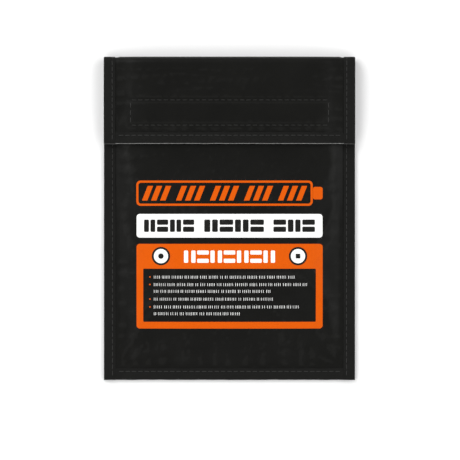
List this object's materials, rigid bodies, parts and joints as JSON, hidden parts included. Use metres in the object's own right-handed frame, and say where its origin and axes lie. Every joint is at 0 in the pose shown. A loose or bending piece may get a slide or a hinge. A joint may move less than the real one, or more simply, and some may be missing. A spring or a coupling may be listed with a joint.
{
  "type": "battery safe bag",
  "caption": "Flat fire-resistant pouch for charging and storing lithium polymer packs, with bound edges, a lined pocket and a fold-over flap closed by hook-and-loop strips.",
  "frame": {"origin": "middle of the face the closed bag rests on", "axes": "+Z out of the front face, +Y towards the top fold, X across the bag"},
  "size_m": [0.175, 0.225, 0.0123],
  "materials": {
    "coated_cloth": "black silicone-coated glass-fibre cloth, fine weave, soft sheen",
    "lining": "uncoated pale grey woven glass-fibre lining",
    "binding": "black ribbed woven tape, slightly worn along the fold",
    "thread": "dark grey sewing thread",
    "hook": "black hook tape",
    "loop": "black brushed loop tape",
    "ink_orange": "orange screen print",
    "ink_white": "white screen print",
    "ink_black": "black screen print"
  },
  "bodies": {
    "pouch": {"back_panel": "coated_cloth", "back_lining": "lining", "front_lining": "lining", "front_panel": "coated_cloth", "left_side_binding": "binding", "right_side_binding": "binding", "bottom_binding": "binding", "mouth_binding": "binding", "loop_strip": "loop", "loop_strip_stitching": "thread", "side_seam_stitching": "thread", "bottom_seam_stitching": "thread", "mouth_stitching": "thread", "print_orange": "ink_orange", "print_white": "ink_white", "print_black": "ink_black"},
    "top_fold": {"fold_panel": "coated_cloth", "fold_lining": "lining", "fold_left_binding": "binding", "fold_right_binding": "binding"},
    "flap": {"flap_lining": "lining", "flap_panel": "coated_cloth", "flap_left_binding": "binding", "flap_right_binding": "binding", "flap_edge_binding": "binding", "hook_strip": "hook", "hook_strip_stitching": "thread", "flap_edge_stitching": "thread"}
  },
  "joints": [
    {"name": "fold_back_crease", "type": "hinge", "parent": "pouch", "child": "top_fold", "pos_m": [0, 0.1111, 0.0014], "axis": [-1, 0, 0], "range_deg": [0, 90]},
    {"name": "fold_front_crease", "type": "hinge", "parent": "top_fold", "child": "flap", "pos_m": [0, 0.1111, 0.01065], "axis": [-1, 0, 0], "range_deg": [0, 90]}
  ],
  "couplings": [
    {"joint": "fold_front_crease", "follows": "fold_back_crease", "ratio": 1}
  ]
}
